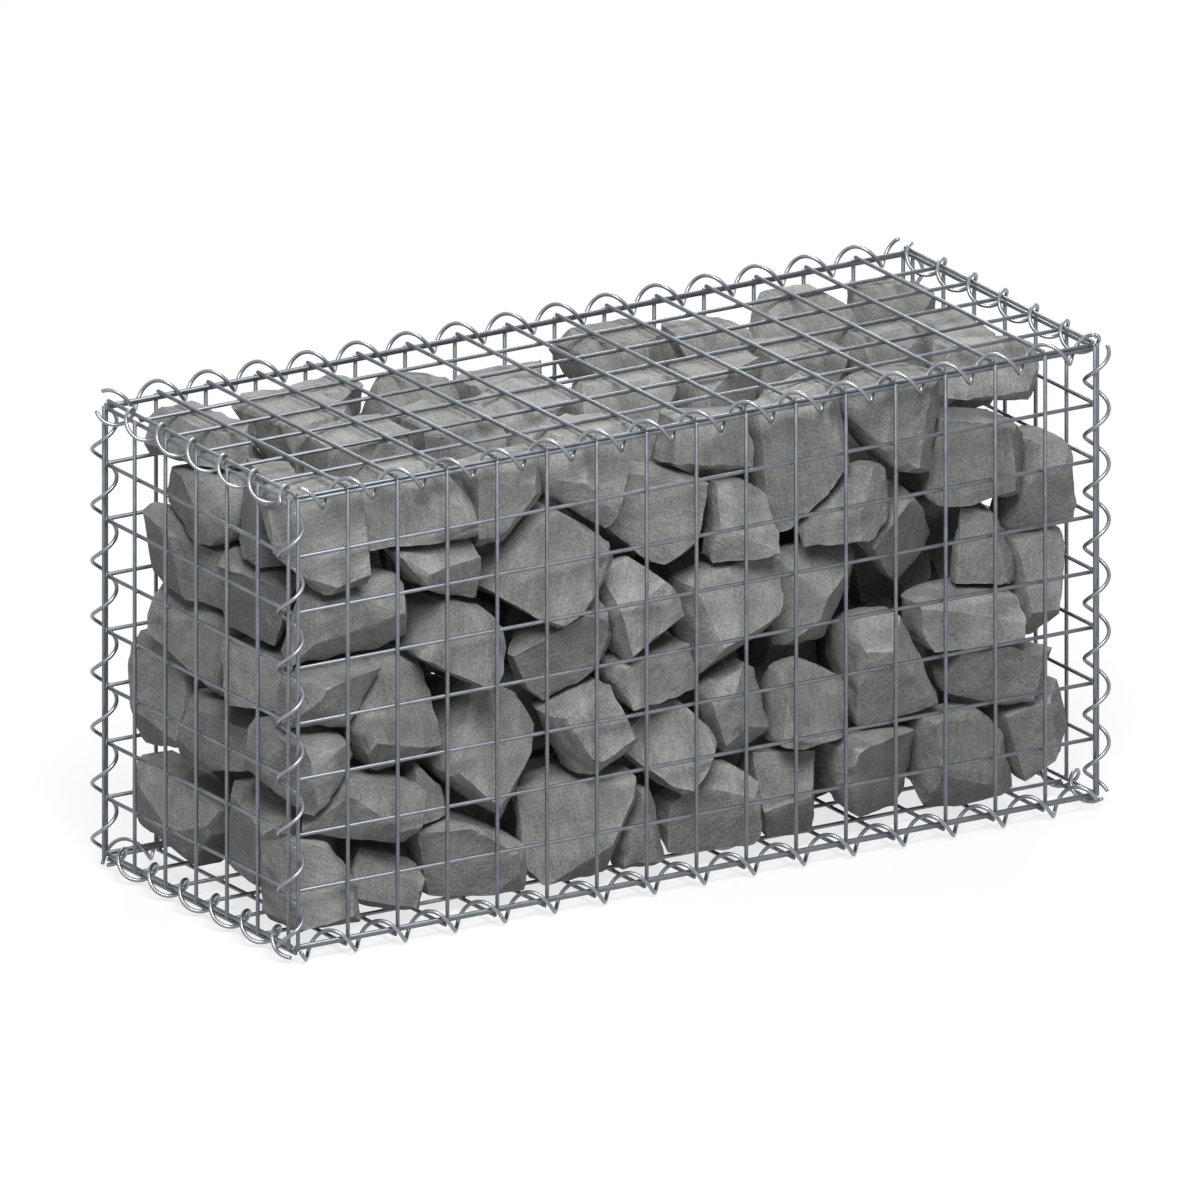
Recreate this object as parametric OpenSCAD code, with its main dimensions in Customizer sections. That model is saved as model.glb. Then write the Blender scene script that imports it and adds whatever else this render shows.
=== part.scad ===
// Gabion: a welded wire basket, laced along its twelve edges with wire coils and filled with broken rock.
// The origin is at floor level under the middle of the basket. X runs along its length, and its front
// looks along -Y.

/* [Basket] */
// Length between the centres of the outermost wires
basket_l = 800; // [700:10:900]
// Depth from front to back between the centres of the outermost wires
basket_d = 300; // [270:10:340]
// Height between the centres of the lowest and highest wires
basket_h = 400; // [360:10:450]
// Width of one square mesh cell
mesh_cell = 50; // [45:1:60]
// Thickness of the mesh wire
wire_d = 3.5; // [3:0.1:4.5]
// Length of wire that stands past the last crossing
wire_stub = 3; // [2.5:0.1:5]
// Depth to which crossing wires sink into each other at a weld
weld_bite = 0.3; // [0.2:0.05:0.5]

/* [Edge coils] */
// Outside diameter of a coil
coil_d = 24.5; // [23:0.1:30]
// Thickness of the coil wire
coil_wire_d = 3.5; // [3:0.1:4]

/* [Rock fill] */
// Gap left between stones, and between pieces that lie against each other
contact_gap = 0.3; // [0.2:0.05:0.5]
// Share of a stone's reach that is left where a large piece has broken off
broken_share = 0.58; // [0.45:0.01:0.8]
// Share of a stone's reach that is left where a small chip has come off
chip_share = 0.88; // [0.8:0.01:0.95]
// Number of small chips around each stone's outline
chip_count = 3; // [1:1:5]
// Steepest slope of a stone's outer face
face_slope = 0.45; // [0.1:0.05:0.6]
// Deepest bevel around a stone's outer face, as a share of its smaller half size
bevel_share = 0.9; // [0.3:0.05:1]

/* [Hidden] */
// The stones are laid out on a face 16 cells long, 6 cells deep and 8 cells high
unit = [basket_l / 16, basket_d / 6, basket_h / 8];

columns = round(basket_l / mesh_cell);
rows = round(basket_h / mesh_cell);
bays = round(basket_d / mesh_cell);
half_l = basket_l / 2;
half_d = basket_d / 2;

// Edge wires of two panels lie side by side at 45 degrees, so each panel stands this far outside the
// other's edge
inner_step = (wire_d + contact_gap) / sqrt(2);
outer_step = inner_step + wire_d - weld_bite;
// Inner wires stop just short of the neighbouring panel
inner_stub = inner_step - wire_d / 2 - contact_gap;

// Mesh wires have eight flats
wire_sides = 8;

coil_r = (coil_d - coil_wire_d) / 2;
coil_sides = 6;
rings_per_turn = 10;
// Chords cut inside the true circle, so the ring points lie a little outside it
coil_ring_r = 2 * coil_r / (1 + cos(180 / rings_per_turn));
coil_inside = coil_ring_r * cos(180 / rings_per_turn) - coil_wire_d / 2;
// A coil's middle line lies between the two edge wires, less the play by which it settles onto a wire
axis_step = outer_step / 2;
coil_play = coil_inside - axis_step - wire_d / 2 - contact_gap;
// On an upright edge the coil leans along the line that joins the two upright wires that it holds
lean = (coil_inside - wire_d / 2 - contact_gap) / sqrt(2) - axis_step;

low_z = coil_d / 2 + axis_step;
high_z = low_z + basket_h;
edge_x = half_l + axis_step;
edge_y = half_d + axis_step;
// Both upper long coils and the lower back one are pulled outward against the long wires of the lid or base.
// The lower front one lies against its upright wires. At the ends the upper coils hang on the lid, and the
// lower ones carry the base.
pulled_y = edge_y + coil_play;
pulled_z = high_z + axis_step;
hung_z = high_z + axis_step - coil_play;
carrying_z = low_z - axis_step + coil_play;
floor_z = low_z - axis_step;
floor_y = edge_y - coil_play;

rock_grey = [0.47, 0.47, 0.45];
wire_grey = [0.55, 0.58, 0.62];

// Stones of the front face, course by course from the bottom: column, row, width, height and distance set
// back from the mesh, all in cells, then the angle by which the stone is twisted and the angle at which a
// large piece has broken off, or 0
front_layout = [
    [
        [-7.2, 0.85, 1.6, 1.7, 0.0, 2, 42], [-5.7, 0.55, 1.7, 1.0, 0.5, -20, 0],
        [-4.05, 0.8, 2.3, 1.65, 0.0, -4, 58], [-1.85, 0.9, 2.3, 2.05, 0.0, 3, 330],
        [-0.65, 0.7, 1.1, 1.6, 0.3, 12, 159], [0.8, 0.9, 1.9, 1.85, 0.0, 4, 52],
        [2.25, 0.85, 1.5, 1.7, 0.1, -10, 205], [4.0, 0.95, 2.3, 1.75, 0.0, -4, 212],
        [5.85, 0.95, 2.2, 1.9, 0.0, 3, 48], [7.3, 1.15, 1.5, 1.85, 0.25, 20, 322]
    ],
    [
        [-6.15, 2.05, 2.6, 1.5, 0.0, -14, 0], [-5.7, 3.7, 2.0, 2.25, 0.0, 6, 151],
        [-4.85, 1.8, 1.1, 1.5, 0.6, 8, 0], [-3.75, 2.55, 2.0, 2.4, 0.0, -30, 0],
        [-1.65, 2.8, 1.7, 1.7, 0.0, 25, 0], [-0.05, 2.1, 1.95, 1.55, 0.0, -42, 0],
        [1.15, 2.5, 1.3, 1.6, 0.05, 20, 0], [2.75, 2.3, 1.85, 1.75, 0.0, -3, 59],
        [4.5, 2.6, 1.85, 2.25, 0.0, 4, 28], [6.5, 2.25, 1.95, 1.5, 0.0, -20, 0]
    ],
    [
        [-6.9, 4.15, 2.0, 1.4, 0.0, 2, 316], [-4.3, 4.6, 2.05, 1.9, 0.0, -31, 3],
        [-2.1, 4.25, 1.95, 2.05, 0.1, 30, 318], [-0.35, 3.25, 2.1, 1.25, 0.1, 2, 0],
        [1.2, 4.2, 2.15, 2.2, 0.0, 5, 293], [3.2, 4.2, 2.0, 2.0, 0.4, 2, 331],
        [5.9, 3.25, 2.1, 1.5, 0.0, 4, 0], [7.25, 3.75, 1.5, 1.95, 0.2, 3, 319]
    ],
    [
        [-6.3, 5.2, 2.4, 1.7, 0.4, 2, 0], [-4.75, 5.95, 1.75, 1.6, 0.0, 10, 213],
        [-2.35, 5.7, 2.0, 1.95, 0.0, -35, 0], [-0.8, 4.75, 1.85, 1.75, 0.0, 12, 48],
        [1.4, 5.9, 1.5, 1.65, 0.1, -4, 45], [3.45, 5.85, 1.75, 1.6, 0.0, 3, 140],
        [4.6, 4.95, 1.95, 1.95, 0.3, -50, 0], [6.45, 4.45, 1.7, 1.75, 0.1, -4, 27],
        [7.25, 5.35, 1.45, 1.8, 0.2, 4, 160]
    ],
    [
        [-7.1, 7.0, 1.75, 1.85, 0.0, 5, 225], [-5.2, 7.2, 2.3, 1.65, 0.0, 2, 42],
        [-3.4, 7.0, 1.8, 1.65, 0.15, 3, 309], [-1.55, 7.3, 2.0, 1.9, 0.0, -28, 0],
        [-0.35, 6.35, 2.25, 2.0, 0.2, -12, 222], [0.9, 7.2, 1.7, 1.25, 0.45, -8, 0],
        [2.7, 6.7, 2.1, 2.5, 0.0, 11, 328], [4.35, 7.1, 1.8, 1.8, 0.1, -8, 222],
        [6.1, 6.25, 2.2, 1.9, 0.0, 2, 42], [6.75, 7.3, 1.9, 1.3, 0.9, -8, 0]
    ]
];

// Stones of the left end in its front half, then in its back half, in the same terms, with columns counted
// from the middle towards the front
end_layout = [
    [
        [1.1, 1.35, 2.2, 1.7, 0.1, -8, 0], [1.85, 3.0, 2.0, 1.65, 0.0, -8, 0],
        [0.85, 4.0, 2.3, 1.5, 0.0, 5, 225], [0.9, 5.55, 2.3, 1.75, 0.0, -5, 320],
        [0.7, 6.95, 2.1, 1.6, 0.1, 4, 210]
    ],
    [
        [-1.7, 0.85, 2.4, 1.5, 0.0, -8, 320], [-0.5, 2.7, 2.1, 1.5, 0.1, -6, 0],
        [-2.2, 3.0, 1.6, 2.0, 0.0, 6, 0], [-1.3, 4.3, 2.2, 1.9, 0.1, -14, 225],
        [-1.5, 5.6, 2.6, 1.9, 0.05, -8, 0], [-1.05, 6.7, 2.4, 1.5, 0.1, -12, 0],
        [-1.75, 7.45, 2.2, 1.4, 0.3, 8, 0], [-1.3, 7.3, 2.4, 1.6, 1.9, 5, 0]
    ]
];
// Front stones beyond this column have no copy at the back, where the left end's own stones are
copied_columns = 6.2;
// The right end has only a front half, which stands nearer the middle by this many cells
right_shift = 0.75;

// Stones in the middle of the fill stand in courses of staggered columns, all in cells
core_courses = len(front_layout);
core_columns = 7;
core_pitch = 1.75;
core_stagger = 0.2;
core_cells = [1.95, 2.2, 1.8];
core_rows = [0.9, 7.2];
core_twist = 25;

// Share of its rise by which a sloping outer face is set into the stone
face_set_share = 0.6;
// Share of the deepest bevel that the least one has
least_bevel_share = 0.2;
// Least and greatest angle between a bevel and the stone's side
bevel_angles = [25, 62];
// How much deeper bevels are on the inner side
inner_bevel_ratio = 1.4;
// Cutting blocks are this many times as large as half a stone
cutter_ratio = 6;
// Cuts whose direction has less than this inward part count as straight through the layer
straight_limit = 0.001;

// Stones belong to the front, the back, the left end, the right end or the core. Each of these layers is laid
// out square on, with x to the right, y inward and z up, and is then turned by its angle.
FRONT = 0;
BACK = 1;
LEFT = 2;
RIGHT = 3;
CORE = 4;
layer_turns = [0, 180, -90, 90, 0];

// A stone is its layer, its place and half size as laid out, its outline about that place, and its seed
function layer_of(stone) = stone[0];
function place_of(stone) = stone[1];
function half_of(stone) = stone[2];
function outline_of(stone) = stone[3];
function seed_of(stone) = stone[4];
function seed_at(layer, course, index) = 100 * layer + 20 * course + index;

// Random amounts that belong to one stone, where each use has a draw number of its own
function amounts(stone, draw, least, most, count) = rands(least, most, count, seed_of(stone) + 1000 * draw);

function turned(p, angle) = [p.x * cos(angle) - p.y * sin(angle), p.x * sin(angle) + p.y * cos(angle)];
function reach(points, direction) = max([for (p = points) p * direction]);

// What is left of an outline on the near side of a line
function clipped(points, direction, distance) = [
    for (i = [0 : len(points) - 1])
        let (
            a = points[i],
            b = points[(i + 1) % len(points)],
            past_a = a * direction - distance,
            past_b = b * direction - distance
        )
        each concat(
            past_a <= 0 ? [a] : [],
            past_a * past_b < 0 ? [a + (b - a) * past_a / (past_a - past_b)] : []
        )
];

function trimmed(points, cuts, i = 0) =
    i == len(cuts) ? points : trimmed(clipped(points, cuts[i][0], cuts[i][1]), cuts, i + 1);

// An outline after chips, each given as an angle and the share of the reach that is left there
function chipped(points, chips, i = 0) =
    i == len(chips) ? points
    : let (direction = [cos(chips[i][0]), sin(chips[i][0])])
      chipped(clipped(points, direction, chips[i][1] * reach(points, direction)), chips, i + 1);

function stone_outline(width, height, twist, broken, seed) =
    let (
        block = [
            for (corner = [[-1, -1], [1, -1], [1, 1], [-1, 1]])
                turned([corner.x * width, corner.y * height] / 2, twist)
        ],
        large = broken == 0 ? [] : [[broken, broken_share]],
        whims = rands(-1, 1, 2 * chip_count, seed),
        small = [
            for (i = [0 : chip_count - 1])
                [(i + whims[2 * i]) * 360 / chip_count, chip_share + whims[2 * i + 1] * (1 - chip_share) / 2]
        ]
    )
    chipped(block, concat(large, small));

function face_stone(layer, row, seed) =
    let (
        long = layer == FRONT || layer == BACK,
        across = long ? unit.x : unit.y,
        inward = long ? unit.y : unit.x,
        outer = long ? half_d : half_l,
        deep = (row[2] + row[3]) / 2
    )
    [
        layer,
        [row[0] * across, (row[4] + deep / 2) * inward - outer, low_z + row[1] * unit.z],
        [row[2] * across, deep * inward, row[3] * unit.z] / 2,
        stone_outline(row[2] * across, row[3] * unit.z, row[5], row[6], seed),
        seed
    ];

function core_stone(course, column) =
    let (
        seed = seed_at(CORE, course, column),
        stagger = course % 2 == 0 ? core_stagger : -core_stagger,
        row = core_rows[0] + (core_rows[1] - core_rows[0]) * course / (core_courses - 1),
        size = [core_cells.x * unit.x, core_cells.y * unit.y, core_cells.z * unit.z],
        twist = rands(-core_twist, core_twist, 1, seed)[0]
    )
    [
        CORE,
        [(column - (core_columns - 1) / 2 + stagger) * core_pitch * unit.x, 0, low_z + row * unit.z],
        size / 2,
        stone_outline(size.x, size.z, twist, 0, seed),
        seed
    ];

function face_course(layer, rows, course) =
    [for (i = [0 : len(rows) - 1]) face_stone(layer, rows[i], seed_at(layer, course, i))];
function copied(rows) = [for (row = rows) if (row[0] < copied_columns) row];
function shifted(rows) = [for (row = rows) row - [right_shift, 0, 0, 0, 0, 0, 0]];
function joined(lists) = [for (list = lists) each list];

front_courses = [for (c = [0 : len(front_layout) - 1]) face_course(FRONT, front_layout[c], c)];
back_courses = [for (c = [0 : len(front_layout) - 1]) face_course(BACK, copied(front_layout[c]), c)];
left_end = joined([for (c = [0, 1]) face_course(LEFT, end_layout[c], c)]);
right_end = face_course(RIGHT, shifted(end_layout[0]), 0);
core = [for (c = [0 : core_courses - 1]) [for (i = [0 : core_columns - 1]) core_stone(c, i)]];
all_stones = concat(joined(front_courses), joined(back_courses), left_end, right_end, joined(core));

// Planes that keep the stones inside the basket: outward direction and distance from the basket's middle.
// The slanted ones keep them clear of the edge coils.
fill_half = [
    half_l + inner_step - wire_d / 2 - contact_gap,
    half_d + inner_step - wire_d / 2 - contact_gap,
    basket_h / 2 + inner_step - wire_d / 2 - contact_gap
];
fill_middle = [0, 0, low_z + basket_h / 2];
function edge_reach(a, b) = (a + b) / sqrt(2) - coil_d / 2 - coil_play - contact_gap;
edge_z = basket_h / 2 + axis_step;
walls = concat(
    [for (s = [-1, 1]) [[s, 0, 0], fill_half.x]],
    [for (s = [-1, 1]) [[0, s, 0], fill_half.y]],
    [for (s = [-1, 1]) [[0, 0, s], fill_half.z]],
    [for (s = [-1, 1]) for (t = [-1, 1]) [[s, t, 0] / sqrt(2), edge_reach(edge_x, edge_y)]],
    [for (s = [-1, 1]) for (t = [-1, 1]) [[s, 0, t] / sqrt(2), edge_reach(edge_x, edge_z)]],
    [for (s = [-1, 1]) for (t = [-1, 1]) [[0, s, t] / sqrt(2), edge_reach(edge_y, edge_z)]]
);

// A direction in the basket as seen in a stone's layer, and the other way round
function to_layer(stone, v) = concat(turned(v, -layer_turns[layer_of(stone)]), v.z);
function from_layer(stone, v) = concat(turned(v, layer_turns[layer_of(stone)]), v.z);
function middle(stone) = from_layer(stone, place_of(stone));

// How far a stone reaches from its middle in a direction in the basket
function stone_reach(stone, direction) =
    let (v = to_layer(stone, direction))
    reach(outline_of(stone), [v.x, v.z]) + abs(v.y) * half_of(stone).y;

function edge_directions(points) = [
    for (i = [0 : len(points) - 1])
        let (edge = points[(i + 1) % len(points)] - points[i])
        [edge.y, -edge.x] / norm(edge)
];

// Directions in which two stones may be parted: within a layer square to the sides of their outlines, or
// one behind the other, and otherwise along the line between them
function parting_directions(stone, other, apart) =
    layer_of(stone) == layer_of(other)
        ? concat(
            [for (d = edge_directions(outline_of(stone))) from_layer(stone, [d.x, 0, d.y])],
            [for (d = edge_directions(outline_of(other))) -from_layer(other, [d.x, 0, d.y])],
            [from_layer(stone, [0, to_layer(stone, apart).y < 0 ? -1 : 1, 0])]
        )
        : [apart / norm(apart)];

function near(stone, other, apart) =
    seed_of(stone) != seed_of(other)
    && norm(apart) < norm(half_of(stone)) + norm(half_of(other)) + contact_gap;

// Stones that overlap are parted in the direction of the least overlap, half way through it
function neighbour_cuts(stone) = [
    for (other = all_stones)
        let (apart = middle(other) - middle(stone))
        if (near(stone, other, apart))
            let (
                directions = parting_directions(stone, other, apart),
                overlaps = [
                    for (d = directions) stone_reach(stone, d) + stone_reach(other, -d) - apart * d
                ],
                least = min(overlaps),
                direction = directions[search(least, overlaps)[0]]
            )
            if (least > -contact_gap)
                [to_layer(stone, direction), stone_reach(stone, direction) - (least + contact_gap) / 2]
];

function wall_cuts(stone) = [
    for (wall = walls)
        let (room = wall[1] - wall[0] * (middle(stone) - fill_middle))
        if (room < stone_reach(stone, wall[0])) [to_layer(stone, wall[0]), room]
];

// The outer face slopes by its own amount to each side
function face_cut(stone) =
    let (
        slope = amounts(stone, 1, -face_slope, face_slope, 2),
        rise = abs(slope.x) * half_of(stone).x + abs(slope.y) * half_of(stone).z,
        outward = [slope.x, -1, slope.y]
    )
    [outward / norm(outward), (half_of(stone).y - face_set_share * rise) / norm(outward)];

// Bevels of uneven depth and slope run along the outline, around the outer face and around the inner one
function bevel_cut(stone, direction, side, angle, depth) = [
    [direction.x * cos(angle), side * sin(angle), direction.y * cos(angle)],
    reach(outline_of(stone), direction) * cos(angle) + (half_of(stone).y - depth) * sin(angle)
];

function bevel_cuts(stone) =
    let (
        directions = edge_directions(outline_of(stone)),
        count = len(directions),
        deepest = bevel_share * min(half_of(stone).x, half_of(stone).z),
        angles = amounts(stone, 2, bevel_angles[0], bevel_angles[1], 2 * count),
        depths = amounts(stone, 3, least_bevel_share * deepest, deepest, 2 * count)
    )
    [
        for (i = [0 : count - 1])
            each [
                bevel_cut(stone, directions[i], -1, angles[i], depths[i]),
                bevel_cut(stone, directions[i], 1, angles[count + i], inner_bevel_ratio * depths[count + i])
            ]
    ];

// All that lies behind a plane, as far as a block of the given size reaches
module behind_plane(direction, distance, size) {
    rotate([0, acos(direction.z), atan2(direction.y, direction.x)])
        translate([-size / 2, -size / 2, distance - size])
            cube(size);
}

// Cuts that run straight through the layer trim the outline, and the others trim the block that stands on it
module rock(stone) {
    block_size = cutter_ratio * norm(half_of(stone));
    parted = neighbour_cuts(stone);
    straight = [for (cut = parted) if (abs(cut[0].y) < straight_limit) [[cut[0].x, cut[0].z], cut[1]]];
    slanting = [for (cut = parted) if (abs(cut[0].y) >= straight_limit) cut];
    cuts = concat([face_cut(stone)], bevel_cuts(stone), slanting, wall_cuts(stone));
    translate(middle(stone))
        rotate(layer_turns[layer_of(stone)])
            intersection() {
                rotate([90, 0, 0])
                    linear_extrude(2 * half_of(stone).y, center = true)
                        polygon(trimmed(outline_of(stone), straight));
                intersection_for (cut = cuts)
                    behind_plane(cut[0], cut[1], block_size);
            }
}

module rocks(stones) {
    color(rock_grey)
        for (stone = stones)
            rock(stone);
}

// A straight wire along X, Y or Z, with its middle at the given place and a flat on each side
module wire(place, along, length) {
    translate(place)
        rotate(along == "x" ? [0, 90, 0] : along == "y" ? [90, 0, 0] : [0, 0, 0])
            rotate(180 / wire_sides)
                cylinder(h = length, d = wire_d / cos(180 / wire_sides), center = true, $fn = wire_sides);
}

function spread(count, length, i) = length * (i / count - 0.5);

// Front and back: upright wires outside, level wires inside
module long_side(side) {
    middle_z = low_z + basket_h / 2;
    color(wire_grey) {
        for (i = [0 : columns])
            wire(
                [spread(columns, basket_l, i), side * (half_d + outer_step), middle_z], "z",
                basket_h + 2 * wire_stub
            );
        for (i = [0 : rows])
            wire(
                [0, side * (half_d + inner_step), middle_z + spread(rows, basket_h, i)], "x",
                basket_l + 2 * inner_stub
            );
    }
}

// Left and right ends: upright wires outside, level wires inside
module end_side(side) {
    middle_z = low_z + basket_h / 2;
    color(wire_grey) {
        for (i = [0 : bays])
            wire(
                [side * (half_l + outer_step), spread(bays, basket_d, i), middle_z], "z",
                basket_h + 2 * wire_stub
            );
        for (i = [0 : rows])
            wire(
                [side * (half_l + inner_step), 0, middle_z + spread(rows, basket_h, i)], "y",
                basket_d + 2 * inner_stub
            );
    }
}

// Lid and base: wires from front to back outside, long wires inside
module level_side(level_z, side) {
    color(wire_grey) {
        for (i = [0 : columns])
            wire(
                [spread(columns, basket_l, i), 0, level_z + side * outer_step], "y",
                basket_d + 2 * wire_stub
            );
        for (i = [0 : bays])
            wire(
                [0, spread(bays, basket_d, i), level_z + side * inner_step], "x",
                basket_l + 2 * inner_stub
            );
    }
}

// A right-handed coil along Z, centred on the origin, whose wire points at start_angle at every whole turn
module coil(turns, length, start_angle) {
    pitch = length / turns;
    rings = turns * rings_per_turn;
    slope = atan2(pitch, 2 * PI * coil_r);
    function ring_point(k, s) =
        let (
            turn = start_angle + 360 * k / rings_per_turn,
            out = coil_wire_d / 2 * cos(360 * s / coil_sides),
            up = coil_wire_d / 2 * sin(360 * s / coil_sides),
            r = coil_ring_r + out
        )
        [
            r * cos(turn) + up * sin(slope) * sin(turn),
            r * sin(turn) - up * sin(slope) * cos(turn),
            pitch * k / rings_per_turn - length / 2 + up * cos(slope)
        ];
    points = [for (k = [0 : rings]) for (s = [0 : coil_sides - 1]) ring_point(k, s)];
    skin = [
        for (k = [0 : rings - 1])
            for (s = [0 : coil_sides - 1])
                let (
                    a = k * coil_sides + s,
                    b = k * coil_sides + (s + 1) % coil_sides
                )
                each [[a, b + coil_sides, a + coil_sides], [a, b, b + coil_sides]]
    ];
    ends = [
        [for (s = [coil_sides - 1 : -1 : 0]) s],
        [for (s = [0 : coil_sides - 1]) rings * coil_sides + s]
    ];
    color(wire_grey)
        polyhedron(points = points, faces = concat(skin, ends), convexity = 10);
}

// Places a coil along the length, the depth or the height of the basket
module coil_along_x(y, z, start_angle) {
    translate([0, y, z])
        rotate([90, 0, 90])
            coil(columns, basket_l, start_angle);
}

module coil_along_y(x, z, start_angle) {
    translate([x, 0, z])
        rotate([-90, -90, 0])
            coil(bays, basket_d, start_angle);
}

module coil_along_z(x, y, start_angle) {
    translate([x, y, low_z + basket_h / 2])
        coil(rows, basket_h, start_angle);
}

long_side(-1);  // front_mesh
long_side(1);  // back_mesh
end_side(-1);  // left_end_mesh
end_side(1);  // right_end_mesh
level_side(low_z, -1);  // base_mesh
level_side(high_z, 1);  // lid_mesh

coil_along_x(-pulled_y, pulled_z, 90);  // top_front_coil
coil_along_x(pulled_y, pulled_z, 56);  // top_back_coil
coil_along_x(-floor_y, floor_z, 180);  // bottom_front_coil
coil_along_x(pulled_y, floor_z, 300);  // bottom_back_coil
coil_along_y(-edge_x, hung_z, 270);  // top_left_coil
coil_along_y(edge_x, hung_z, 10);  // top_right_coil
coil_along_y(-edge_x, carrying_z, 180);  // bottom_left_coil
coil_along_y(edge_x, carrying_z, 130);  // bottom_right_coil
coil_along_z(-edge_x - lean, lean - edge_y, 135);  // front_left_coil
coil_along_z(edge_x + lean, lean - edge_y, 0);  // front_right_coil
coil_along_z(-edge_x - lean, edge_y - lean, 50);  // back_left_coil
coil_along_z(edge_x + lean, edge_y - lean, 75);  // back_right_coil

for (c = [0 : len(front_layout) - 1]) {
    rocks(front_courses[c]);
    rocks(back_courses[c]);
    rocks(core[c]);
}
rocks(left_end);  // left_end_stones
rocks(right_end);  // right_end_stones
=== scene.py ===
# A gabion: a basket of galvanised wire mesh, laced with wire coils and filled with broken grey rock.
import math
import random

import bmesh
import bpy
import numpy as np
from mathutils import Euler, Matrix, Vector, noise


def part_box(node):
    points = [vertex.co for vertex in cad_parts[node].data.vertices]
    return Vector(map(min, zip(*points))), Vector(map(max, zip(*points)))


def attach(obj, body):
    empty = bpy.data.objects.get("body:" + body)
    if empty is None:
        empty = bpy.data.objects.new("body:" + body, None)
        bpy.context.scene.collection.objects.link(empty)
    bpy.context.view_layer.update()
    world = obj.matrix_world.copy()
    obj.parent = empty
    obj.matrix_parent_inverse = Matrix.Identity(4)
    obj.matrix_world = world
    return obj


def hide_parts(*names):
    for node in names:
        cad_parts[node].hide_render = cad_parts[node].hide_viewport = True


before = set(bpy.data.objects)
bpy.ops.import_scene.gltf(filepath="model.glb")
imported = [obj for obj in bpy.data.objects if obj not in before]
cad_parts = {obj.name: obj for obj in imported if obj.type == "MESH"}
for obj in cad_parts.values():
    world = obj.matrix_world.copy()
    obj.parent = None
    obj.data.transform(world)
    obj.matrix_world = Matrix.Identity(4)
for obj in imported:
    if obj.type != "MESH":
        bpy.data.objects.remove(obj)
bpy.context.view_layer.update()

# Sizes in metres, as in the frame
MESH_CELL = 0.050
WIRE_D = 0.0035
WIRE_STUB = 0.003
INNER_STUB = 0.0006
COIL_R = 0.0105
COIL_WIRE_D = 0.0035

# The photograph is an orthographic view from the front left
VIEW_AZIMUTH = -31.7
VIEW_ELEVATION = 18.1
VIEW_WIDTH = 1.0248
VIEW_TARGET = Vector((-0.0004, 0.0003, 0.2158))
VIEW_DISTANCE = 4.0

X, Y, Z = 0, 1, 2
# Each panel's node, the axis that it faces, the side it is on, and the axes of its outer and inner wires
PANELS = [
    ("front_mesh", Y, -1, Z, X),
    ("back_mesh", Y, 1, Z, X),
    ("left_end_mesh", X, -1, Z, Y),
    ("right_end_mesh", X, 1, Z, Y),
    ("base_mesh", Z, -1, Y, X),
    ("lid_mesh", Z, 1, Y, X),
]
# Each coil's node, its axis and the angle of its wire at every whole turn
COILS = [
    ("top_front_coil", X, 90),
    ("top_back_coil", X, 56),
    ("bottom_front_coil", X, 180),
    ("bottom_back_coil", X, 300),
    ("top_left_coil", Y, 270),
    ("top_right_coil", Y, 10),
    ("bottom_left_coil", Y, 180),
    ("bottom_right_coil", Y, 130),
    ("front_left_coil", Z, 135),
    ("front_right_coil", Z, 0),
    ("back_left_coil", Z, 50),
    ("back_right_coil", Z, 75),
]
STONE_NODES = [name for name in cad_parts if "_stones" in name]

WIRE_SIDES = 14
WELD_RINGS = 5
WELD_SIDES = 8
COIL_STEPS = 32
COIL_SIDES = 12
# Shares of the wire's thickness: the crop of its ends, and a weld bead's half width and half thickness
END_CROP = 0.25
WELD_WIDE = 0.62
WELD_THICK = 0.36

# Fineness of the stones' meshes, as the number of times that the space round a stone is halved
SHOWN_FINENESS = 5
CORE_FINENESS = 4
# Share of that space that the stone fills
STONE_FILL = 0.9
# Corner points closer than this are one, and faces that turn by less than this are one
MERGE_DISTANCE = 1e-5
FLAT_ANGLE = math.radians(1.0)

# Weathering of the stones: width of worn edges, which is also the width of their pale band of wear and
# painted highlight, depths of chips, waves and grain, and their number in a metre
EDGE_WIDTH = 0.006
CHIP_DEPTH = 0.0022
WAVE_DEPTH = 0.0012
GRAIN_DEPTH = 0.0003
CHIPS_PER_METRE = 75
WAVES_PER_METRE = 42
GRAINS_PER_METRE = 150
# Raises the noise so that rather more than half of an edge is chipped
CHIP_BIAS = 0.15
# Edges that turn by more than this are shaded as sharp ones
SHARP_ANGLE = math.radians(26)

# Stones that lie against each other come closest in the middle of the joint, and draw back towards its rim
JOINT_GAP = 0.0006
JOINT_WIDTH = 0.018
JOINT_DEPTH = 0.0034
# Least share of that depth, to which the waves add
JOINT_LEAST = 0.4
# Cosine between two planes that face each other
OPPOSITE = -0.9999

# Reach of the random shifts that give each stone its own weathering and grain, and the range of its tone
WEATHER_SHIFT = 9
GRAIN_SHIFT = 5
TONE_RANGE = (0.88, 1.12)
STONE_SEED = 11

# Each wire's dark and pale grey, and its middle roughness
MESH_WIRE = ((0.150, 0.163, 0.182), (0.215, 0.230, 0.252), 0.45)
COIL_WIRE = ((0.210, 0.222, 0.240), (0.300, 0.314, 0.334), 0.33)
# Dark, middle and pale grey of the rock, each with the blend of noises that it stands for
ROCK_GREYS = [
    (0.36, (0.130, 0.130, 0.127)),
    (0.50, (0.265, 0.265, 0.260)),
    (0.64, (0.390, 0.388, 0.380)),
]

# The floor is white as seen, with a soft shadow that fades between two distances, and grey to other light
FLOOR_RADIUS = 9.0
FLOOR_GREY = (0.30, 0.30, 0.30, 1)
FLOOR_PALE = (0.95, 0.95, 0.95, 1)
WHITE = (1, 1, 1, 1)
SHADOW_SHARE = 0.25
SHADOW_FADES = (0.5, 1.3)
SOFT_LIGHT = 0.24
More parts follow.
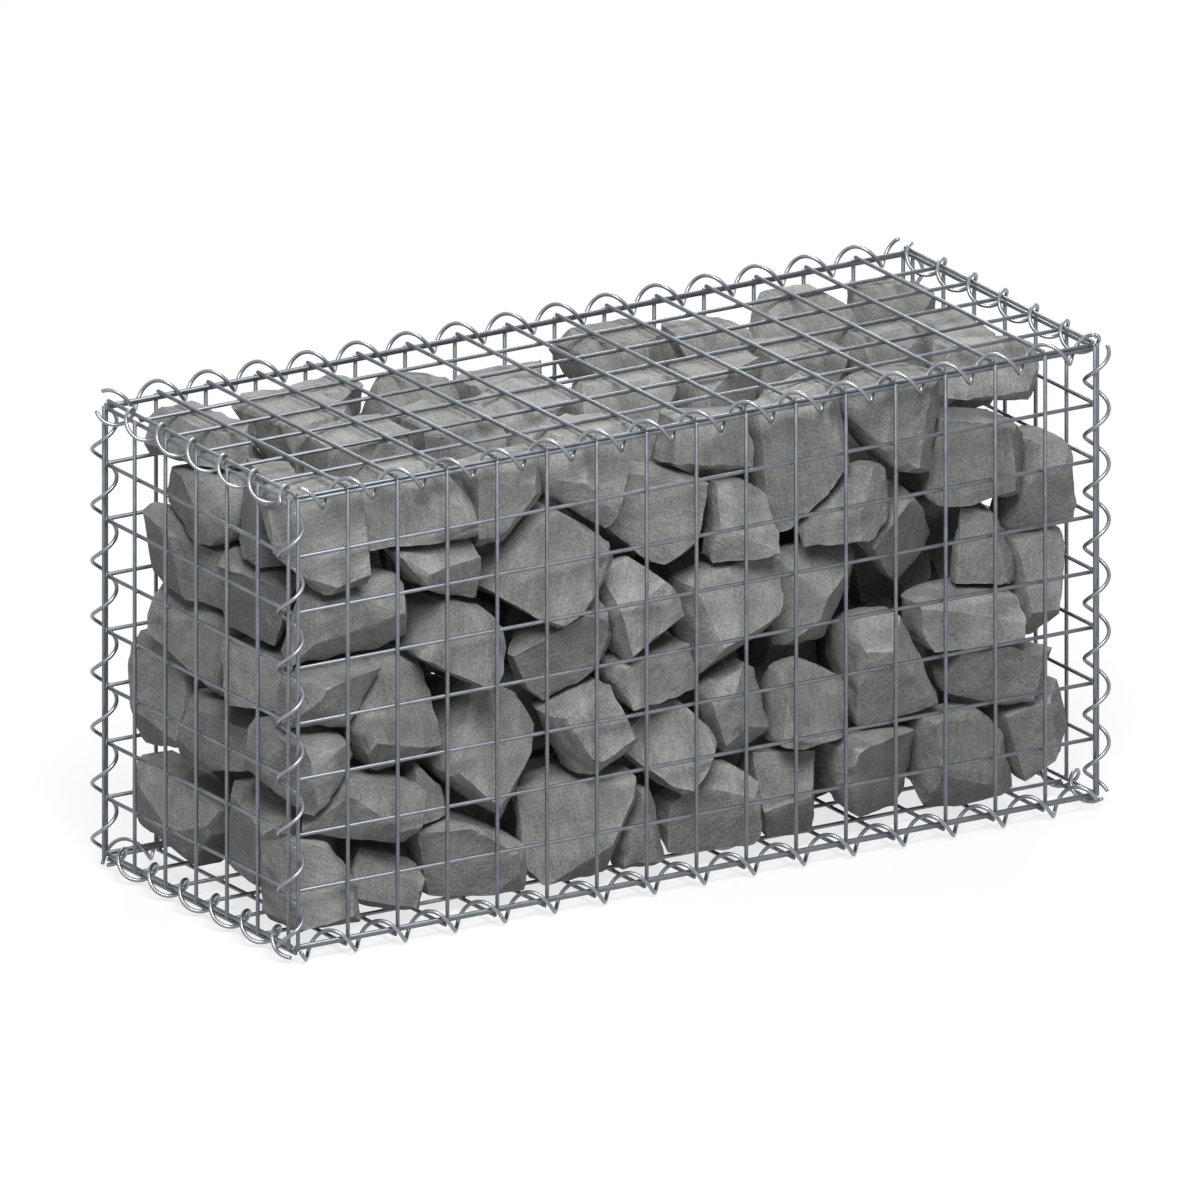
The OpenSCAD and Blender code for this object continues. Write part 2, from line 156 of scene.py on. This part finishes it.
# Each lamp's name, place, width and power
LAMPS = [
    ("key", (-1.25, -2.05, 3.0), 2.0, 157),
    ("rim", (1.6, 1.9, 2.2), 1.2, 58),
]


def new_piece(name, verts, faces, material, node):
    """A smooth visible piece that stands for a node."""
    mesh = bpy.data.meshes.new(name)
    mesh.from_pydata(verts, [], faces)
    mesh.validate()
    mesh.polygons.foreach_set("use_smooth", [True] * len(mesh.polygons))
    mesh.materials.append(material)
    piece = bpy.data.objects.new(name, mesh)
    bpy.context.collection.objects.link(piece)
    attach(piece, "root")
    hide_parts(node)
    return piece


class Shape:
    """Vertices and faces that grow as parts are added."""

    def __init__(self):
        self.verts = []
        self.faces = []

    def add(self, verts, faces):
        start = len(self.verts)
        self.verts.extend(verts)
        self.faces.extend([tuple(start + i for i in face) for face in faces])


def tube(rings):
    """Verts and faces of a closed tube through rings of equal length."""
    sides = len(rings[0])
    verts = [point for ring in rings for point in ring]
    faces = []
    for k in range(len(rings) - 1):
        for s in range(sides):
            a = k * sides + s
            b = k * sides + (s + 1) % sides
            faces.append((a, b, b + sides, a + sides))
    faces.append(tuple(range(sides - 1, -1, -1)))
    last = (len(rings) - 1) * sides
    faces.append(tuple(last + s for s in range(sides)))
    return verts, faces


def straight_wire(place, along, length):
    """A round wire with softly cropped ends, along one axis."""
    crop = END_CROP * WIRE_D
    u_axis = (along + 1) % 3
    v_axis = (along + 2) % 3
    rings = []
    for t, r in (
        (-length / 2, WIRE_D / 2 - crop / 2),
        (-length / 2 + crop / 2, WIRE_D / 2),
        (length / 2 - crop / 2, WIRE_D / 2),
        (length / 2, WIRE_D / 2 - crop / 2),
    ):
        ring = []
        for s in range(WIRE_SIDES):
            a = 2 * math.pi * s / WIRE_SIDES
            point = [0.0, 0.0, 0.0]
            point[along] = place[along] + t
            point[u_axis] = place[u_axis] + r * math.cos(a)
            point[v_axis] = place[v_axis] + r * math.sin(a)
            ring.append(tuple(point))
        rings.append(ring)
    return tube(rings)


def weld_spot(place, facing):
    """A small flattened bead where two wires are welded."""
    wide = WELD_WIDE * WIRE_D
    thick = WELD_THICK * WIRE_D
    u_axis = (facing + 1) % 3
    v_axis = (facing + 2) % 3
    rings = []
    for k in range(WELD_RINGS):
        t = -1 + 2 * (k + 0.5) / WELD_RINGS
        r = wide * math.sqrt(1 - t * t)
        ring = []
        for s in range(WELD_SIDES):
            a = 2 * math.pi * s / WELD_SIDES
            point = [0.0, 0.0, 0.0]
            point[facing] = place[facing] + thick * t
            point[u_axis] = place[u_axis] + r * math.cos(a)
            point[v_axis] = place[v_axis] + r * math.sin(a)
            ring.append(tuple(point))
        rings.append(ring)
    return tube(rings)


def evenly(low, high):
    """Places of wires about one cell apart."""
    count = round((high - low) / MESH_CELL)
    return [low + (high - low) * i / count for i in range(count + 1)]


def mesh_panel(node, facing, side, outer_along, inner_along, material):
    """A panel of outer and inner wires with a weld at each crossing."""
    low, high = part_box(node)
    outer_place = (high if side > 0 else low)[facing] - side * WIRE_D / 2
    inner_place = (low if side > 0 else high)[facing] + side * WIRE_D / 2
    outer_at = evenly(low[inner_along] + WIRE_D / 2, high[inner_along] - WIRE_D / 2)
    inner_at = evenly(low[outer_along] + WIRE_STUB, high[outer_along] - WIRE_STUB)
    middle = [(low[i] + high[i]) / 2 for i in range(3)]
    shape = Shape()
    for at in outer_at:
        place = list(middle)
        place[facing] = outer_place
        place[inner_along] = at
        shape.add(*straight_wire(place, outer_along, high[outer_along] - low[outer_along]))
    for at in inner_at:
        place = list(middle)
        place[facing] = inner_place
        place[outer_along] = at
        shape.add(*straight_wire(place, inner_along, outer_at[-1] - outer_at[0] + 2 * INNER_STUB))
    for a in outer_at:
        for b in inner_at:
            place = [0.0, 0.0, 0.0]
            place[facing] = (outer_place + inner_place) / 2
            place[inner_along] = a
            place[outer_along] = b
            shape.add(*weld_spot(place, facing))
    new_piece("looks_" + node, shape.verts, shape.faces, material, node)


def edge_coil(node, along, start_angle, material):
    """A wire wound round an edge, one turn for each cell."""
    low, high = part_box(node)
    u_axis = (along + 1) % 3
    v_axis = (along + 2) % 3
    middle = [(low[i] + high[i]) / 2 for i in range(3)]
    turns = int((high[along] - low[along]) / MESH_CELL)
    length = turns * MESH_CELL
    slope = math.atan2(MESH_CELL, 2 * math.pi * COIL_R)
    steps = turns * COIL_STEPS
    rings = []
    for k in range(steps + 1):
        turn = math.radians(start_angle) + 2 * math.pi * k / COIL_STEPS
        ring = []
        for s in range(COIL_SIDES):
            a = -2 * math.pi * s / COIL_SIDES
            out = COIL_R + COIL_WIRE_D / 2 * math.cos(a)
            up = COIL_WIRE_D / 2 * math.sin(a)
            point = [0.0, 0.0, 0.0]
            point[along] = middle[along] - length / 2 + length * k / steps + up * math.cos(slope)
            point[u_axis] = middle[u_axis] + out * math.cos(turn) + up * math.sin(slope) * math.sin(turn)
            point[v_axis] = middle[v_axis] + out * math.sin(turn) - up * math.sin(slope) * math.cos(turn)
            ring.append(tuple(point))
        rings.append(ring)
    verts, faces = tube(rings)
    new_piece("looks_" + node, verts, faces, material, node)


def separate_stones(node):
    """The corner points of each stone in a node."""
    work = bmesh.new()
    work.from_mesh(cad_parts[node].data)
    bmesh.ops.remove_doubles(work, verts=work.verts, dist=MERGE_DISTANCE)
    stones = []
    seen = set()
    for first in work.verts:
        if first in seen:
            continue
        seen.add(first)
        island = [first]
        for vert in island:
            for edge in vert.link_edges:
                other = edge.other_vert(vert)
                if other not in seen:
                    seen.add(other)
                    island.append(other)
        stones.append([vert.co.copy() for vert in island])
    work.free()
    return sorted(stones, key=lambda points: tuple(round(c, 5) for c in sum(points, Vector()) / len(points)))


def stone_hull(points):
    """The stone as one closed mesh, with the planes of its faces."""
    work = bmesh.new()
    for point in points:
        work.verts.new(point)
    bmesh.ops.convex_hull(work, input=work.verts)
    bmesh.ops.dissolve_limit(work, angle_limit=FLAT_ANGLE, verts=work.verts, edges=work.edges)
    work.normal_update()
    planes = np.array([[*face.normal, face.normal.dot(face.verts[0].co)] for face in work.faces])
    mesh = bpy.data.meshes.new("hull")
    work.to_mesh(mesh)
    work.free()
    return mesh, planes


def fine_mesh(mesh, fineness):
    """The mesh cut into small squares that keep its edges sharp."""
    work = bpy.data.objects.new("fine", mesh)
    bpy.context.collection.objects.link(work)
    remesh = work.modifiers.new("remesh", "REMESH")
    remesh.mode = "SHARP"
    remesh.octree_depth = fineness
    remesh.scale = STONE_FILL
    remesh.use_remove_disconnected = False
    graph = bpy.context.evaluated_depsgraph_get()
    fine = bpy.data.meshes.new_from_object(work.evaluated_get(graph))
    bpy.data.objects.remove(work)
    bpy.data.meshes.remove(mesh)
    return fine


def joint_planes(all_planes):
    """For each stone, which of its planes lies against one of another stone."""
    planes = np.concatenate(all_planes).astype(np.float32)
    facing = planes[:, :3] @ planes[:, :3].T < OPPOSITE
    close = np.abs(planes[:, 3][:, None] + planes[:, 3][None, :]) < JOINT_GAP
    joints = (facing & close).any(axis=1)
    ends = np.cumsum([len(stone) for stone in all_planes])
    return np.split(joints, ends[:-1])


def even_noise(place):
    return 0.5 + 0.5 * noise.noise(place)


def weathered(fine, planes, joints, draw):
    """Points of the stone with broken edges and uneven faces, and how close each one is to an edge."""
    count = len(fine.vertices)
    points = np.empty(count * 3)
    normals = np.empty(count * 3)
    fine.vertices.foreach_get("co", points)
    fine.vertex_normals.foreach_get("vector", normals)
    points = points.reshape(-1, 3)
    normals = normals.reshape(-1, 3)
    slack = planes[None, :, 3] - points @ planes[:, :3].T
    second = np.partition(slack, 1, axis=1)[:, 1]
    near_edge = np.clip(1 - second / EDGE_WIDTH, 0, 1)
    rim = np.clip(1 - second / JOINT_WIDTH, 0, 1)
    beside = np.clip(1 - slack[:, joints] / JOINT_WIDTH, 0, 1)
    drawn_back = JOINT_DEPTH * rim[:, None] * (beside @ planes[joints, :3])
    shift = Vector([draw.uniform(-WEATHER_SHIFT, WEATHER_SHIFT) for _ in range(3)])
    depth = np.empty(count)
    waves = np.empty(count)
    for i in range(count):
        p = Vector(points[i])
        waves[i] = even_noise(p * WAVES_PER_METRE + shift)
        grain = even_noise(p * GRAINS_PER_METRE + shift)
        chip = max(0.0, noise.noise(p * CHIPS_PER_METRE - shift) + CHIP_BIAS)
        depth[i] = WAVE_DEPTH * waves[i] + GRAIN_DEPTH * grain + CHIP_DEPTH * chip * near_edge[i]
    worn = points - normals * depth[:, None] - drawn_back * (JOINT_LEAST + waves)[:, None]
    return worn, near_edge


def stone_course(node, hulls, joints, material, draw):
    """All stones of a node as one piece, with each stone's own place in the rock, its closeness to edges,
    which makes it paler there as wear and a painted highlight, and its tone.
    """
    fineness = CORE_FINENESS if node.startswith("core") else SHOWN_FINENESS
    verts = []
    faces = []
    own_places = []
    wear_and_highlight = []
    tones = []
    for (hull, planes), stone_joints in zip(hulls, joints):
        fine = fine_mesh(hull, fineness)
        places, near_edge = weathered(fine, planes, stone_joints, draw)
        start = len(verts)
        verts.extend(map(tuple, places))
        faces.extend([tuple(start + i for i in polygon.vertices) for polygon in fine.polygons])
        bpy.data.meshes.remove(fine)
        turn = np.array(Euler([draw.uniform(-math.pi, math.pi) for _ in range(3)]).to_matrix())
        offset = np.array([draw.uniform(-GRAIN_SHIFT, GRAIN_SHIFT) for _ in range(3)])
        own_places.append((places - places.mean(axis=0)) @ turn.T + offset)
        wear_and_highlight.append(near_edge)
        tones.append(np.full(len(places), draw.uniform(*TONE_RANGE)))
    piece = new_piece("looks_" + node, verts, faces, material, node)
    mesh = piece.data
    mesh.set_sharp_from_angle(angle=SHARP_ANGLE)
    mesh.attributes.new("stone_place", "FLOAT_VECTOR", "POINT").data.foreach_set(
        "vector", np.concatenate(own_places).ravel()
    )
    # How close each point is to an edge, which the rock's colour uses for pale wear and a painted highlight
    mesh.attributes.new("edge_wear_and_highlight", "FLOAT", "POINT").data.foreach_set("value", np.concatenate(wear_and_highlight))
    mesh.attributes.new("stone_tone", "FLOAT", "POINT").data.foreach_set("value", np.concatenate(tones))


def stone_courses(material, draw):
    hulls = {node: [stone_hull(points) for points in separate_stones(node)] for node in STONE_NODES}
    joints = iter(joint_planes([planes for course in hulls.values() for _, planes in course]))
    for node, course in hulls.items():
        stone_course(node, course, [next(joints) for _ in course], material, draw)


def new_material(name):
    material = bpy.data.materials.new(name)
    material.use_nodes = True
    nodes = material.node_tree.nodes
    return material, nodes, material.node_tree.links, nodes["Principled BSDF"]


def noise_node(nodes, links, place, scale, detail, rough=0.55):
    node = nodes.new("ShaderNodeTexNoise")
    node.inputs["Scale"].default_value = scale
    node.inputs["Detail"].default_value = detail
    node.inputs["Roughness"].default_value = rough
    links.new(place, node.inputs["Vector"])
    return node.outputs["Fac"]


def mapped(nodes, links, value, given, wanted):
    """The value moved from its given range to the wanted one."""
    node = nodes.new("ShaderNodeMapRange")
    node.inputs["From Min"].default_value = given[0]
    node.inputs["From Max"].default_value = given[1]
    node.inputs["To Min"].default_value = wanted[0]
    node.inputs["To Max"].default_value = wanted[1]
    links.new(value, node.inputs["Value"])
    return node.outputs["Result"]


def math_node(nodes, links, operation, a, b):
    node = nodes.new("ShaderNodeMath")
    node.operation = operation
    for socket, value in zip(node.inputs, (a, b)):
        if isinstance(value, (int, float)):
            socket.default_value = value
        else:
            links.new(value, socket)
    return node.outputs["Value"]


def weighted_sum(nodes, links, parts):
    total = 0.0
    for value, weight in parts:
        total = math_node(nodes, links, "ADD", total, math_node(nodes, links, "MULTIPLY", value, weight))
    return total


def add_bump(nodes, links, shader, height, strength, distance):
    bump = nodes.new("ShaderNodeBump")
    bump.inputs["Strength"].default_value = strength
    bump.inputs["Distance"].default_value = distance
    links.new(height, bump.inputs["Height"])
    links.new(bump.outputs["Normal"], shader.inputs["Normal"])


def named_attribute(nodes, name, output):
    node = nodes.new("ShaderNodeAttribute")
    node.attribute_name = name
    return node.outputs[output]


def ramp(nodes, links, value, stops):
    node = nodes.new("ShaderNodeValToRGB")
    elements = node.color_ramp.elements
    while len(elements) < len(stops):
        elements.new(0.5)
    for element, (at, colour) in zip(elements, stops):
        element.position = at
        element.color = (*colour, 1)
    links.new(value, node.inputs["Fac"])
    return node.outputs["Color"]


def rock_material():
    material, nodes, links, shader = new_material("grey_rock")
    place = named_attribute(nodes, "stone_place", "Vector")
    mottle = noise_node(nodes, links, place, scale=38, detail=5, rough=0.6)
    dents = noise_node(nodes, links, place, scale=120, detail=6, rough=0.65)
    speckle = noise_node(nodes, links, place, scale=560, detail=3, rough=0.75)
    stretch = nodes.new("ShaderNodeMapping")
    stretch.inputs["Scale"].default_value = (40, 55, 420)
    links.new(place, stretch.inputs["Vector"])
    beds = noise_node(nodes, links, stretch.outputs["Vector"], scale=1, detail=4, rough=0.65)
    blend = weighted_sum(nodes, links, [(mottle, 0.28), (speckle, 0.52), (beds, 0.20)])
    colour = ramp(nodes, links, blend, ROCK_GREYS)
    wear_and_highlight = named_attribute(nodes, "edge_wear_and_highlight", "Fac")
    tone = named_attribute(nodes, "stone_tone", "Fac")
    # Paler towards the edges by up to 12 per cent: partly pale wear, partly a painted highlight
    lift = mapped(nodes, links, wear_and_highlight, given=(0.3, 1.0), wanted=(1.0, 1.12))
    factor = math_node(nodes, links, "MULTIPLY", lift, tone)
    scaled = nodes.new("ShaderNodeVectorMath")
    scaled.operation = "SCALE"
    links.new(colour, scaled.inputs[0])
    links.new(factor, scaled.inputs["Scale"])
    links.new(scaled.outputs["Vector"], shader.inputs["Base Color"])
    roughness = mapped(nodes, links, mottle, given=(0.3, 0.7), wanted=(0.80, 0.95))
    links.new(roughness, shader.inputs["Roughness"])
    shader.inputs["Specular IOR Level"].default_value = 0.25
    relief = weighted_sum(nodes, links, [(speckle, 0.3), (beds, 0.3), (dents, 1.0)])
    add_bump(nodes, links, shader, relief, strength=0.8, distance=0.0022)
    return material


def galvanised_material(name, dark, pale, roughness):
    """Zinc-coated wire, clouded between two greys, with the given middle roughness."""
    material, nodes, links, shader = new_material(name)
    place = nodes.new("ShaderNodeTexCoord").outputs["Object"]
    cloud = noise_node(nodes, links, place, scale=90, detail=4)
    streak = noise_node(nodes, links, place, scale=900, detail=2)
    colour = ramp(nodes, links, cloud, [
        (0.30, dark),
        (0.70, pale),
    ])
    links.new(colour, shader.inputs["Base Color"])
    shader.inputs["Metallic"].default_value = 0.85
    clouded = mapped(nodes, links, cloud, given=(0.3, 0.7), wanted=(0.85 * roughness, 1.15 * roughness))
    links.new(clouded, shader.inputs["Roughness"])
    add_bump(nodes, links, shader, streak, strength=0.15, distance=0.0003)
    return material


def seen_directly(nodes, links):
    """One where the camera sees a surface, directly, mirrored or through glass, and nought elsewhere."""
    path = nodes.new("ShaderNodeLightPath")
    seen = math_node(nodes, links, "MAXIMUM", path.outputs["Is Camera Ray"], path.outputs["Is Glossy Ray"])
    return math_node(nodes, links, "MAXIMUM", seen, path.outputs["Is Transmission Ray"])


def floor_material():
    """White as seen, with a soft shadow near the object, and plain grey to the light that it throws back."""
    material, nodes, links, shader = new_material("white_floor")
    shader.inputs["Base Color"].default_value = FLOOR_GREY
    shader.inputs["Roughness"].default_value = 0.9
    shader.inputs["Specular IOR Level"].default_value = 0.1
    white = nodes.new("ShaderNodeEmission")
    white.inputs["Color"].default_value = WHITE
    white.inputs["Strength"].default_value = 1.0
    pale = nodes.new("ShaderNodeBsdfDiffuse")
    pale.inputs["Color"].default_value = FLOOR_PALE
    distance = nodes.new("ShaderNodeVectorMath")
    distance.operation = "LENGTH"
    links.new(nodes.new("ShaderNodeNewGeometry").outputs["Position"], distance.inputs[0])
    shaded = nodes.new("ShaderNodeMixShader")
    share = mapped(nodes, links, distance.outputs["Value"], given=SHADOW_FADES, wanted=(SHADOW_SHARE, 0.0))
    links.new(share, shaded.inputs["Fac"])
    links.new(white.outputs["Emission"], shaded.inputs[1])
    links.new(pale.outputs["BSDF"], shaded.inputs[2])
    mix = nodes.new("ShaderNodeMixShader")
    links.new(seen_directly(nodes, links), mix.inputs["Fac"])
    links.new(shader.outputs["BSDF"], mix.inputs[1])
    links.new(shaded.outputs["Shader"], mix.inputs[2])
    links.new(mix.outputs["Shader"], nodes["Material Output"].inputs["Surface"])
    return material


def add_floor():
    work = bmesh.new()
    bmesh.ops.create_circle(work, cap_ends=True, radius=FLOOR_RADIUS, segments=96)
    mesh = bpy.data.meshes.new("floor")
    work.to_mesh(mesh)
    work.free()
    mesh.materials.append(floor_material())
    floor = bpy.data.objects.new("floor", mesh)
    bpy.context.collection.objects.link(floor)


def add_area_light(name, place, size, power):
    lamp = bpy.data.lights.new(name, "AREA")
    lamp.shape = "DISK"
    lamp.size = size
    lamp.energy = power
    light = bpy.data.objects.new(name, lamp)
    light.location = place
    light.rotation_euler = (VIEW_TARGET - Vector(place)).to_track_quat("-Z", "Y").to_euler()
    bpy.context.collection.objects.link(light)


def add_world():
    world = bpy.data.worlds.new("studio")
    bpy.context.scene.world = world
    world.use_nodes = True
    nodes = world.node_tree.nodes
    links = world.node_tree.links
    soft = nodes["Background"]
    soft.inputs["Color"].default_value = WHITE
    soft.inputs["Strength"].default_value = SOFT_LIGHT
    white = nodes.new("ShaderNodeBackground")
    white.inputs["Color"].default_value = WHITE
    white.inputs["Strength"].default_value = 1.0
    mix = nodes.new("ShaderNodeMixShader")
    links.new(seen_directly(nodes, links), mix.inputs["Fac"])
    links.new(soft.outputs["Background"], mix.inputs[1])
    links.new(white.outputs["Background"], mix.inputs[2])
    links.new(mix.outputs["Shader"], nodes["World Output"].inputs["Surface"])


def add_camera():
    a = math.radians(VIEW_AZIMUTH)
    e = math.radians(VIEW_ELEVATION)
    back = Vector((math.sin(a) * math.cos(e), -math.cos(a) * math.cos(e), math.sin(e)))
    lens = bpy.data.cameras.new("camera")
    lens.type = "ORTHO"
    lens.ortho_scale = VIEW_WIDTH
    camera = bpy.data.objects.new("camera", lens)
    camera.location = VIEW_TARGET + back * VIEW_DISTANCE
    camera.rotation_euler = back.to_track_quat("Z", "Y").to_euler()
    bpy.context.collection.objects.link(camera)
    bpy.context.scene.camera = camera


add_camera()
add_world()
add_floor()
for lamp in LAMPS:
    add_area_light(*lamp)
bpy.context.scene.view_settings.view_transform = "Standard"

mesh_wire = galvanised_material("mesh_wire", *MESH_WIRE)
coil_wire = galvanised_material("coil_wire", *COIL_WIRE)
rock = rock_material()
for panel in PANELS:
    mesh_panel(*panel, mesh_wire)
for coil in COILS:
    edge_coil(*coil, coil_wire)
stone_courses(rock, random.Random(STONE_SEED))
